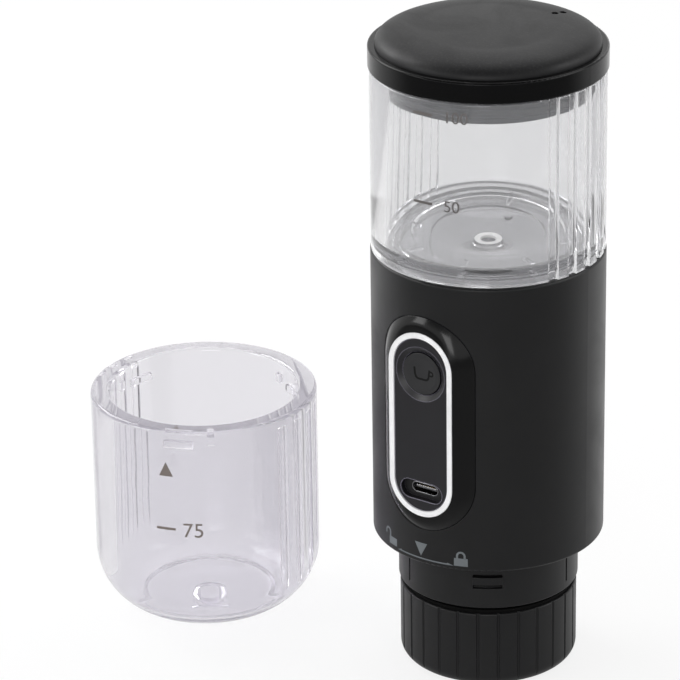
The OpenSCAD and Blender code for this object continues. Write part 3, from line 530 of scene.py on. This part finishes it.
board_mask, tree, surface = finish_of("board_mask")
skin = node_in(tree, "ShaderNodeBsdfPrincipled")
tracks = node_in(tree, "ShaderNodeTexBrick", Scale=420.0, offset=0.37, Color1=(0.012, 0.085, 0.03, 1),
                 Color2=(0.016, 0.1, 0.036, 1), Mortar=(0.03, 0.16, 0.06, 1))
lift = node_in(tree, "ShaderNodeMapping", Rotation=(math.pi / 2, 0, 0))
tree.links.new(node_in(tree, "ShaderNodeTexCoord").outputs["Object"], lift.inputs["Vector"])
tree.links.new(lift.outputs[0], tracks.inputs["Vector"])
tree.links.new(tracks.outputs["Color"], skin.inputs["Base Color"])
marks = node_in(tree, "ShaderNodeGroup", node_tree=handling)
tree.links.new(ranged(tree, marks.outputs["Smudge"], 0, 1, 0.28, 0.4), skin.inputs["Roughness"])
tree.links.new(skin.outputs[0], surface)
dress(board_mask, "control_board")

# Its edges are painted much lighter: a painted highlight round the button's dish and the socket's recess
plate_grey = moulded("plate_grey", (0.0095, 0.009, 0.0115), 0.34, gloss=0.45, relief=4e-6,
                     rounding=0.4, edge_wear_and_highlight=28.0)
dress(plate_grey, "control_plate")
button_grey = moulded("button_grey", (0.013, 0.013, 0.0145), 0.42, gloss=0.5, relief=6e-6,
                      rounding=0.3, edge_wear_and_highlight=1.6)
dress(button_grey, "brew_button")
ring_white = moulded("ring_white", (0.9, 0.9, 0.91), 0.3, relief=2e-6, rounding=0.25, edge_wear_and_highlight=1.02,
                     dust=0.0)
dress(ring_white, "light_ring")
port_steel = drawn_metal("port_steel", (0.3, 0.3, 0.31), 0.22, along=(1, 0.02, 1))
dress(port_steel, "usb_port")


def closed_up(piece, angle=32):
    """Merges the seams of a mesh, turns its faces outwards and smooths what isn't an edge."""
    bpy.ops.object.mode_set(mode="EDIT")
    bpy.ops.mesh.select_all(action="SELECT")
    bpy.ops.mesh.remove_doubles(threshold=1e-7)
    bpy.ops.object.mode_set(mode="OBJECT")
    faced_out()
    bpy.ops.object.shade_smooth_by_angle(angle=math.radians(angle))
    return piece


def lofted(name, rows):
    """A skin through closed rows of points, from the first row to the last and back to the first."""
    lap, count = len(rows[0]), len(rows)
    bpy.ops.object.select_all(action="DESELECT")
    bpy.ops.mesh.primitive_grid_add(x_subdivisions=lap, y_subdivisions=count, size=2)
    piece = bpy.context.object
    piece.name = name
    for vertex in piece.data.vertices:
        i, j = round((vertex.co.x + 1) / 2 * lap), round((vertex.co.y + 1) / 2 * count)
        vertex.co = Vector(rows[j % count][i % lap]) * MM
    return closed_up(piece)


def oblong(offset, steps=40):
    """The panel's upright oblong, grown by an offset: points in X and Z."""
    half = PANEL_W / 2 + offset
    return arc(0, END_Z, half, 0, 180, steps) + arc(0, -END_Z, half, 180, 360, steps)


def upright_row(line, out):
    """A row of the surround at one distance in front of the axis."""
    return [(x, -out, PANEL_Z + z) for x, z in line]


def swelling_row(share):
    """A row of the surround's face, from the sleeve at 0 to the panel's face at 1."""
    row = []
    for (x, z), (skirt_x, _) in zip(oblong((BEZEL_W - 2 * FIT) * (1 - share) + FIT), skirt):
        sleeve_out = math.sqrt(SLEEVE_R ** 2 - skirt_x ** 2)
        out = sleeve_out * (1 - share) + FACE_OUT * share + BEZEL_SWELL * math.sin(math.pi * share)
        row.append((x, -out, PANEL_Z + z))
    return row


skirt, mouth = oblong(BEZEL_W - FIT), oblong(FIT)
bezel_rows = [upright_row(skirt, BEZEL_BACK)]
bezel_rows += [swelling_row(BEZEL_LIP * k / BEZEL_ROWS) for k in range(BEZEL_ROWS + 1)]
bezel_rows += [upright_row(mouth, FACE_OUT), upright_row(mouth, BEZEL_BACK)]
# Its edges are painted lighter as a painted highlight along the rounding
gloss_black = moulded("gloss_black", (0.002, 0.002, 0.0022), 0.15, gloss=0.3, relief=1e-6,
                      rounding=0.25, edge_wear_and_highlight=14.0, dust=0.03)
fitted(lofted("panel_surround", bezel_rows), "machine", gloss_black, "gloss_black", "panel_bezel")


def in_dish(x, y, t):
    """Lays a sheet in the button's thumb dish."""
    out = CAP_OUT - THUMB_DEPTH + THUMB_R - math.sqrt(THUMB_R ** 2 - x * x - y * y)
    return x, -(out + t), BUTTON_Z + y


bowl = [(-2.5, 1.6), (-2.3, -0.6)] + arc(-1.1, -0.6, 1.1, 180, 270, 6)
bowl += arc(1.1, -0.6, 1.1, 270, 360, 6) + [(2.5, 1.6)]
handle = [(2.6, 1.1), (3.1, 1.1)] + arc(3.1, 0.5, 0.6, 90, -90, 6) + [(2.5, -0.1)]
cup_sign = inked([ribbon(bowl, 0.6), ribbon(handle, 0.5)])
sign_black = ink("sign_black", (0.002, 0.002, 0.002), 0.5, gloss=0.2)
fitted(laid(cup_sign, "cup_sign", in_dish, film=0.02, strip=0.8), "button", sign_black, "panel_grey")


def copied(piece, placing):
    """A copy of a piece with its own mesh, moved by a matrix."""
    copy = piece.copy()
    copy.data = piece.data.copy()
    copy.data.transform(placing)
    bpy.context.collection.objects.link(copy)
    return copy


# Contact strips on both sides of the socket's tongue
bpy.ops.object.select_all(action="DESELECT")
bpy.ops.mesh.primitive_cube_add(size=1)
strip = bpy.context.object
strip.scale = (CONTACT_W * MM, CONTACT_L * MM, CONTACT_T * MM)
bpy.ops.object.transform_apply(location=True, rotation=True, scale=True)
bpy.ops.object.mode_set(mode="EDIT")
bpy.ops.mesh.bevel(offset=CONTACT_ROUND * MM, segments=1)
bpy.ops.object.mode_set(mode="OBJECT")
strips = []
for side in (-1, 1):
    for i in range(CONTACTS):
        spot = Vector(((i - (CONTACTS - 1) / 2) * CONTACT_PITCH, CONTACT_SINK - PORT_OUT,
                       PORT_Z + side * CONTACT_RISE))
        strips.append(copied(strip, Matrix.Translation(spot * MM)))
bpy.data.objects.remove(strip)
contacts = joined(strips)
contacts.name = "port_contacts"
contact_gold = drawn_metal("contact_gold", (0.72, 0.5, 0.2), 0.25, along=(1, 0.02, 1))
fitted(contacts, "machine", contact_gold, "steel")


# Tank seat and water tank
# A grey socket in the sleeve's mouth takes the tank's bayonet. The tank is one clear moulding with
# flutes on two sides, a dished and ribbed floor, a spigot with lugs and a nozzle with a pale bush.
TANK_R, TANK_BORE, TANK_FOOT, TANK_TOP = 32.8, 29.4, 126.55, 179.45
LEDGE_Z, UNDER_Z = 131.0, 128.1
BUSH_R, BUSH_TOP, BUSH_FOOT = 4.0, 127.8, 127.0
NOZZLE_R, NOZZLE_BORE, NOZZLE_FOOT, SEAL_R = 4.2, 2.6, 116.9, 3.85
SEAL_FOOT, SEAL_TOP = 118.4, 119.2
SPIGOT_R, SPIGOT_BORE, SPIGOT_FOOT = 27.5, 25.5, 121.8
LUGS, LUG_R, LUG_ROOT, LUG_TOP, LUG_SPAN = 3, 28.7, 27.0, 123.4, 24.0
RIBS, RIB_SPAN, RIB_TURN = 8, 3.0, 20
RIB_IN, RIB_OUT, RIB_FOOT, RIB_TOP = 20.5, 25.0, 127.2, 128.4
GATE_R, GATE_FOOT, GATE_TOP, GATE_AWAY, GATE_TURN = 1.3, 127.6, 129.5, 12, 185
FLUTES, FLUTE_PITCH, FLUTE_W, FLUTE_ROUND = 5, 11.7, 3.1, 0.45
FLUTE_BAR, FLUTE_BAR_OUT, FLUTE_BAR_FOOT, FLUTE_BAR_TOP = 3.3, 0.35, 120.0, 190.0
HAZE, WALL_TURNS = 0.06, 1.5
seat_grey = moulded("seat_grey", (0.3, 0.3, 0.31), 0.5, relief=12e-6, edge_wear_and_highlight=1.05, dust=0.0)
dress(seat_grey, "tank_seat")
bush_white = moulded("bush_white", (0.75, 0.75, 0.74), 0.45, gloss=0.35, rounding=0.2, edge_wear_and_highlight=1.02,
                     dust=0.0)
dress(bush_white, "outlet_bush")


def rounded(corners, steps=5):
    """An outline whose corners (radius, height, rounding) are filleted."""
    points = []
    for i, (x, z, r) in enumerate(corners):
        here = Vector((x, z))
        back = (Vector(corners[i - 1][:2]) - here).normalized()
        on = (Vector(corners[(i + 1) % len(corners)][:2]) - here).normalized()
        if r == 0:
            points.append((x, z))
            continue
        half = back.angle(on) / 2
        middle = here + (back + on).normalized() * r / math.sin(half)
        start = here + back * r / math.tan(half) - middle
        end = here + on * r / math.tan(half) - middle
        first = math.degrees(math.atan2(start.y, start.x))
        sweep = (math.degrees(math.atan2(end.y, end.x)) - first + 180) % 360 - 180
        points += arc(middle.x, middle.y, r, first, first + sweep, steps)
    return points


def polar(radius, turn, z=0.0):
    """A place in millimetres at an angle round the axis, counted from the front."""
    a = math.radians(turn)
    return Vector((radius * math.sin(a), -radius * math.cos(a), z))


def edges_picked(piece, wanted):
    """Opens the active piece for editing with only the wanted edges selected, told by their ends."""
    bpy.ops.object.mode_set(mode="EDIT")
    bpy.ops.mesh.select_mode(type="EDGE")
    bpy.ops.object.mode_set(mode="OBJECT")
    for edge in piece.data.edges:
        edge.select = wanted(*(piece.data.vertices[v] for v in edge.vertices))
    bpy.ops.object.mode_set(mode="EDIT")


def edges_done():
    """Goes back to picking points, and closes the piece."""
    bpy.ops.mesh.select_mode(type="VERT")
    bpy.ops.object.mode_set(mode="OBJECT")


def spun(name, outline, angle=360.0, turn=0.0, steps=240, ends_meet=True):
    """A piece spun round the upright axis from an outline of (radius, height), centred on an angle."""
    bpy.ops.object.select_all(action="DESELECT")
    filling = "NOTHING" if angle == 360 else "NGON"
    bpy.ops.mesh.primitive_circle_add(vertices=len(outline), fill_type=filling)
    piece = bpy.context.object
    piece.name = name
    for vertex, (r, z) in zip(piece.data.vertices, outline):
        vertex.co = polar(r, turn - angle / 2, z) * MM
    if not ends_meet:
        edges_picked(piece, lambda a, b: {a.index, b.index} == {0, len(outline) - 1})
        bpy.ops.mesh.delete(type="EDGE")
        edges_done()
    bpy.ops.object.mode_set(mode="EDIT")
    bpy.ops.mesh.select_all(action="SELECT")
    bpy.ops.mesh.spin(steps=steps, angle=math.radians(angle), center=(0, 0, 0), axis=(0, 0, 1))
    bpy.ops.object.mode_set(mode="OBJECT")
    return closed_up(piece)


def worked(piece, tool, how):
    """Cuts a tool out of a piece, or welds it on, and removes the tool."""
    picked(piece)
    bpy.ops.object.modifier_add(type="BOOLEAN")
    step = piece.modifiers[-1]
    step.operation, step.object, step.solver = how, tool, "EXACT"
    bpy.ops.object.modifier_apply(modifier=step.name)
    bpy.data.objects.remove(tool)
    return piece


def flute_cutters(radius, low, high):
    """Bars that cut the upright flutes in both sides of a wall, round at their inner edges."""
    bpy.ops.object.select_all(action="DESELECT")
    bpy.ops.mesh.primitive_cube_add(size=1)
    bar = bpy.context.object
    bar.scale = (FLUTE_W * MM, FLUTE_BAR * MM, (high - low) * MM)
    bar.location = (0, -(radius + FLUTE_BAR_OUT) * MM, (high + low) / 2 * MM)
    bpy.ops.object.transform_apply(location=True, rotation=True, scale=True)
    edges_picked(bar, lambda a, b: abs(a.co.z - b.co.z) > MM and a.co.y > -radius * MM)
    bpy.ops.mesh.bevel(offset=FLUTE_ROUND * MM, segments=4)
    edges_done()
    bars = []
    for side in (90, 270):
        for i in range(FLUTES):
            angle = math.radians(side + (i - FLUTES // 2) * FLUTE_PITCH)
            bars.append(copied(bar, Matrix.Rotation(angle, 4, "Z")))
    bpy.data.objects.remove(bar)
    return joined(bars)


def clear_wall(name, tint, rough, wave):
    """Clear moulded plastic, a little wavy, hazy and handled; lamps shine through it."""
    material, tree, surface = finish_of(name)
    link = tree.links.new
    glass = node_in(tree, "ShaderNodeBsdfPrincipled", IOR=1.5)
    glass.inputs["Base Color"].default_value = tint
    glass.inputs["Transmission Weight"].default_value = 1.0 - HAZE
    used = node_in(tree, "ShaderNodeGroup", node_tree=handling)
    link(ranged(tree, used.outputs["Smudge"], 0, 1, rough, rough + 0.035), glass.inputs["Roughness"])
    flow = noise_in(tree, Scale=70.0, Detail=1.0)
    bump = node_in(tree, "ShaderNodeBump", Strength=1.0, Distance=wave)
    link(flow.outputs[0], bump.inputs["Height"])
    link(bump.outputs[0], glass.inputs["Normal"])
    path = node_in(tree, "ShaderNodeLightPath")
    # Light caught in the wall leaves it after two turns inside
    caught = node_in(tree, "ShaderNodeMath", operation="GREATER_THAN")
    link(path.outputs["Glossy Depth"], caught.inputs[0])
    caught.inputs[1].default_value = WALL_TURNS
    escape = node_in(tree, "ShaderNodeBsdfTransparent", Color=tint)
    wall = chosen(tree, caught.outputs[0], glass.outputs[0], escape.outputs[0])
    through = node_in(tree, "ShaderNodeBsdfTransparent", Color=tint)
    link(chosen(tree, path.outputs["Is Shadow Ray"], wall, through.outputs[0]), surface)
    return material


tank_wall = [(TANK_R, TANK_FOOT, 0.3), (TANK_R, TANK_TOP, 0.5), (TANK_BORE, TANK_TOP, 0.5)]
dished_floor = [(TANK_BORE, LEDGE_Z, 0.6), (21.9, LEDGE_Z, 0.3), (21.4, 130.1, 0.2), (16.3, 129.9, 0.15),
                (15.9, 129.55, 0.15), (4.6, BUSH_TOP, 0)]
bush_seat = [(BUSH_R, BUSH_TOP, 0), (BUSH_R, BUSH_FOOT, 0), (NOZZLE_BORE, BUSH_FOOT, 0)]
nozzle = [(NOZZLE_BORE, NOZZLE_FOOT, 0), (NOZZLE_R, NOZZLE_FOOT, 0.4), (NOZZLE_R, SEAL_FOOT, 0),
          (SEAL_R, SEAL_FOOT, 0), (SEAL_R, SEAL_TOP, 0), (NOZZLE_R, SEAL_TOP, 0), (NOZZLE_R, 125.8, 0)]
spigot = [(16.0, UNDER_Z, 0), (SPIGOT_BORE, UNDER_Z, 0), (SPIGOT_BORE, SPIGOT_FOOT, 0.3),
          (SPIGOT_R, SPIGOT_FOOT, 0.3), (SPIGOT_R, UNDER_Z, 0)]
foot_ring = [(TANK_BORE, UNDER_Z, 0), (TANK_BORE, TANK_FOOT, 0)]
tank = spun("clear_tank", rounded(tank_wall + dished_floor + bush_seat + nozzle + spigot + foot_ring))
for i in range(RIBS):
    rib_line = block(RIB_IN, RIB_FOOT, RIB_OUT, RIB_TOP)
    rib = spun("rib", rib_line, RIB_SPAN, RIB_TURN + 360 // RIBS * i, steps=2)
    worked(tank, rib, "UNION")
for i in range(LUGS):
    lug_line = block(LUG_ROOT, SPIGOT_FOOT, LUG_R, LUG_TOP)
    lug = spun("lug", lug_line, LUG_SPAN, 360 // LUGS * i, steps=10)
    worked(tank, lug, "UNION")
worked(tank, flute_cutters(TANK_R, FLUTE_BAR_FOOT, FLUTE_BAR_TOP), "DIFFERENCE")
gate_mark = [(0, GATE_FOOT, 0), (GATE_R, GATE_FOOT, 0), (GATE_R, GATE_TOP, 0.2), (0, GATE_TOP, 0)]
gate = spun("gate", rounded(gate_mark, steps=3), steps=32, ends_meet=False)
gate.data.transform(Matrix.Translation(polar(GATE_AWAY, GATE_TURN) * MM))
worked(tank, gate, "UNION")
closed_up(tank)
tank_clear = clear_wall("tank_clear", (0.84, 0.84, 0.847, 1), rough=0.012, wave=4e-5)
fitted(tank, "tank", tank_clear, "clear_plastic", "water_tank")


def numbered(text, size, x, y):
    """A plain number as a flat sheet in millimetres."""
    bpy.ops.object.select_all(action="DESELECT")
    bpy.ops.object.text_add()
    piece = bpy.context.object
    piece.data.body = text
    piece.data.size = size
    bpy.ops.object.convert(target="MESH")
    piece = bpy.context.object
    piece.data.transform(Matrix.Translation((x, y, 0)))
    return piece


# Two filling marks, each a short line with its number
HALF_Z, FULL_Z, LINE_LEFT, LINE_RIGHT, LINE_H = 149.35, 174.95, -2.6, 3.4, 0.75
NUMBER_X, NUMBER_DROP, NUMBER_SIZE = 6.7, 1.25, 4.7
mark_grey = ink("mark_grey", (0.12, 0.11, 0.105))
marks = joined([
    numbered("50", NUMBER_SIZE, NUMBER_X, HALF_Z - NUMBER_DROP),
    numbered("100", NUMBER_SIZE, NUMBER_X, FULL_Z - NUMBER_DROP),
    inked([block(LINE_LEFT, z, LINE_RIGHT, z + LINE_H) for z in (HALF_Z, FULL_Z)])])
fitted(laid(marks, "tank_marks", round_wall(TANK_R)), "tank", mark_grey, "clear_plastic")


# Lid
# A glossy black ring and a matte charcoal dome with two vent holes, clipped over a plug whose
# ribbed grey silicone seal holds the lid in the tank's mouth by friction.
RIM_TOP, CROWN_R, CROWN_H, CROWN_STEPS = 185.8, 19.0, 0.6, 16
EDGE_W, EDGE_H, FULLNESS = 12.3, 4.8, 0.88
DOME_T, SKIRT_BORE, SKIRT_H = 1.8, 28.8, 1.3
VENT_RINGS, VENT_TURN, VENT_R, DRILL_Z, DRILL_L = (21.3, 23.9), 154, 1.0, 188, 20
# Its edges are painted lighter: a painted highlight along the rim's top edge
rim_black = moulded("rim_black", (0.0022, 0.0022, 0.0024), 0.16, gloss=0.17, relief=1e-6,
                    rounding=0.25, edge_wear_and_highlight=14.0)
dress(rim_black, "lid_rim")
plug_black = moulded("plug_black", (0.016, 0.016, 0.019), 0.4, rounding=0.3, edge_wear_and_highlight=1.6, dust=0.0)
dress(plug_black, "lid_plug")
# The edges of its lips are painted lighter as a painted highlight
seal_grey = moulded("seal_grey", (0.021, 0.023, 0.03), 0.34, gloss=0.45, relief=6e-6, rounding=0.35,
                    edge_wear_and_highlight=3.5, dust=0.0)
dress(seal_grey, "lid_seal")


def shoulder_at(degrees):
    """A point on the dome's full round shoulder, from its edge at 0 to its crown at 90."""
    a = math.radians(degrees)
    return CROWN_R + EDGE_W * math.cos(a) ** FULLNESS, RIM_TOP + EDGE_H * math.sin(a) ** FULLNESS


def crown_at(share):
    """A point on the dome's flat crown, from its edge at 0 to its middle at 1."""
    return CROWN_R * (1 - share), RIM_TOP + EDGE_H + CROWN_H * (1 - (1 - share) ** 2)


inner_top = RIM_TOP + EDGE_H - DOME_T
dome_line = [(0, inner_top), (CROWN_R, inner_top), (CROWN_R, RIM_TOP + SKIRT_H),
             (SKIRT_BORE, RIM_TOP + SKIRT_H), (SKIRT_BORE, RIM_TOP), (CROWN_R + EDGE_W, RIM_TOP)]
dome_line += [shoulder_at(degrees) for degrees in range(3, 90, 3)]
dome_line += [crown_at(i / CROWN_STEPS) for i in range(CROWN_STEPS + 1)]
dome = spun("lid_cap", dome_line, ends_meet=False, steps=160)
for ring in VENT_RINGS:
    bpy.ops.object.select_all(action="DESELECT")
    bpy.ops.mesh.primitive_cylinder_add(vertices=24, radius=VENT_R * MM, depth=DRILL_L * MM)
    drill = bpy.context.object
    drill.data.transform(Matrix.Translation(polar(ring, VENT_TURN, DRILL_Z) * MM))
    worked(dome, drill, "DIFFERENCE")
closed_up(dome, angle=40)
lid_charcoal = moulded("lid_charcoal", (0.009, 0.009, 0.0097), 0.44, gloss=0.26, grain=2200.0,
                       relief=14e-6, edge_wear_and_highlight=1.2)
fitted(dome, "lid", lid_charcoal, "lid_matte", "lid_dome")


# Drinking cup
# A thick clear cup with a round bottom, flutes on two sides, a ring groove in its floor and a dimple
# under it, moulded in one; three tabs inside the rim catch the neck's lugs. An arrow and a filling
# mark are printed on it.
CUP_X, CUP_Y, CUP_FRONT = -87.5, -18.5, 14.0
CUP_R, CUP_H, CUP_BORE, CUP_ROUND, CUP_ROUND_IN, CUP_LIP = 33.0, 68.5, 27.4, 19.0, 7.8, 1.2
FLOOR_Z, WELL_Z, GROOVE_Z, DIMPLE_Z = 4.6, 4.1, 3.0, 1.7
FLUTES_FROM, FLUTES_TO = 4.75, 65.5
TABS, TAB_TURN, TAB_SPAN, STOP_TURN, STOP_SPAN = 3, 25, 17.0, 6, 4.0
TAB_IN, TAB_OUT, TAB_FOOT, TAB_TOP = 26.1, 27.5, 61.5, 63.5
STOP_IN, STOP_OUT, STOP_FOOT, STOP_TOP = 26.2, 27.45, 62.5, 65.1
PRINT_TURN = 17.4
dimple = [(0, DIMPLE_Z, 0), (3.0, DIMPLE_Z, 1.2), (5.2, 0.05, 0.5), (14, 0, 0)]
cup_wall = [(CUP_R, 0, CUP_ROUND), (CUP_R, CUP_H, CUP_LIP), (CUP_BORE, CUP_H, CUP_LIP),
            (CUP_BORE, FLOOR_Z, CUP_ROUND_IN)]
ring_groove = [(19.6, FLOOR_Z, 0.2), (19.4, GROOVE_Z, 0.2), (18.2, GROOVE_Z, 0.2), (17.8, WELL_Z, 0.2),
               (0, WELL_Z, 0)]
cup = spun("clear_cup", rounded(dimple + cup_wall + ring_groove, steps=14), ends_meet=False)
worked(cup, flute_cutters(CUP_R, FLUTES_FROM, FLUTES_TO), "DIFFERENCE")
for i in range(TABS):
    turn = TAB_TURN + 360 // TABS * i
    tab_line = block(TAB_IN, TAB_FOOT, TAB_OUT, TAB_TOP)
    worked(cup, spun("tab", tab_line, TAB_SPAN, turn, steps=10), "UNION")
    stop_line = block(STOP_IN, STOP_FOOT, STOP_OUT, STOP_TOP)
    worked(cup, spun("stop", stop_line, STOP_SPAN, turn + STOP_TURN, steps=4), "UNION")
closed_up(cup)
standing = Matrix.Translation(Vector((CUP_X, CUP_Y, 0)) * MM)
cup.data.transform(standing @ Matrix.Rotation(math.radians(CUP_FRONT), 4, "Z"))
cup_clear = clear_wall("cup_clear", (0.79, 0.78, 0.81, 1), rough=0.014, wave=6e-5)
fitted(cup, "cup", cup_clear, "cup_clear", "coffee_cup")

arrow = [(-2.1, 54.2), (2.1, 54.2), (0, 58.6)]
filling_line = block(-3.4, 37.1, 2.4, 37.9)
marks = joined([numbered("75", size=6.4, x=4.4, y=35.2), inked([arrow, filling_line])])
cup_ink = ink("cup_ink", (0.2, 0.17, 0.155))
cup_print = laid(marks, "cup_marks", round_wall(CUP_R, PRINT_TURN, (CUP_X, CUP_Y)))
fitted(cup_print, "cup", cup_ink, "cup_clear")
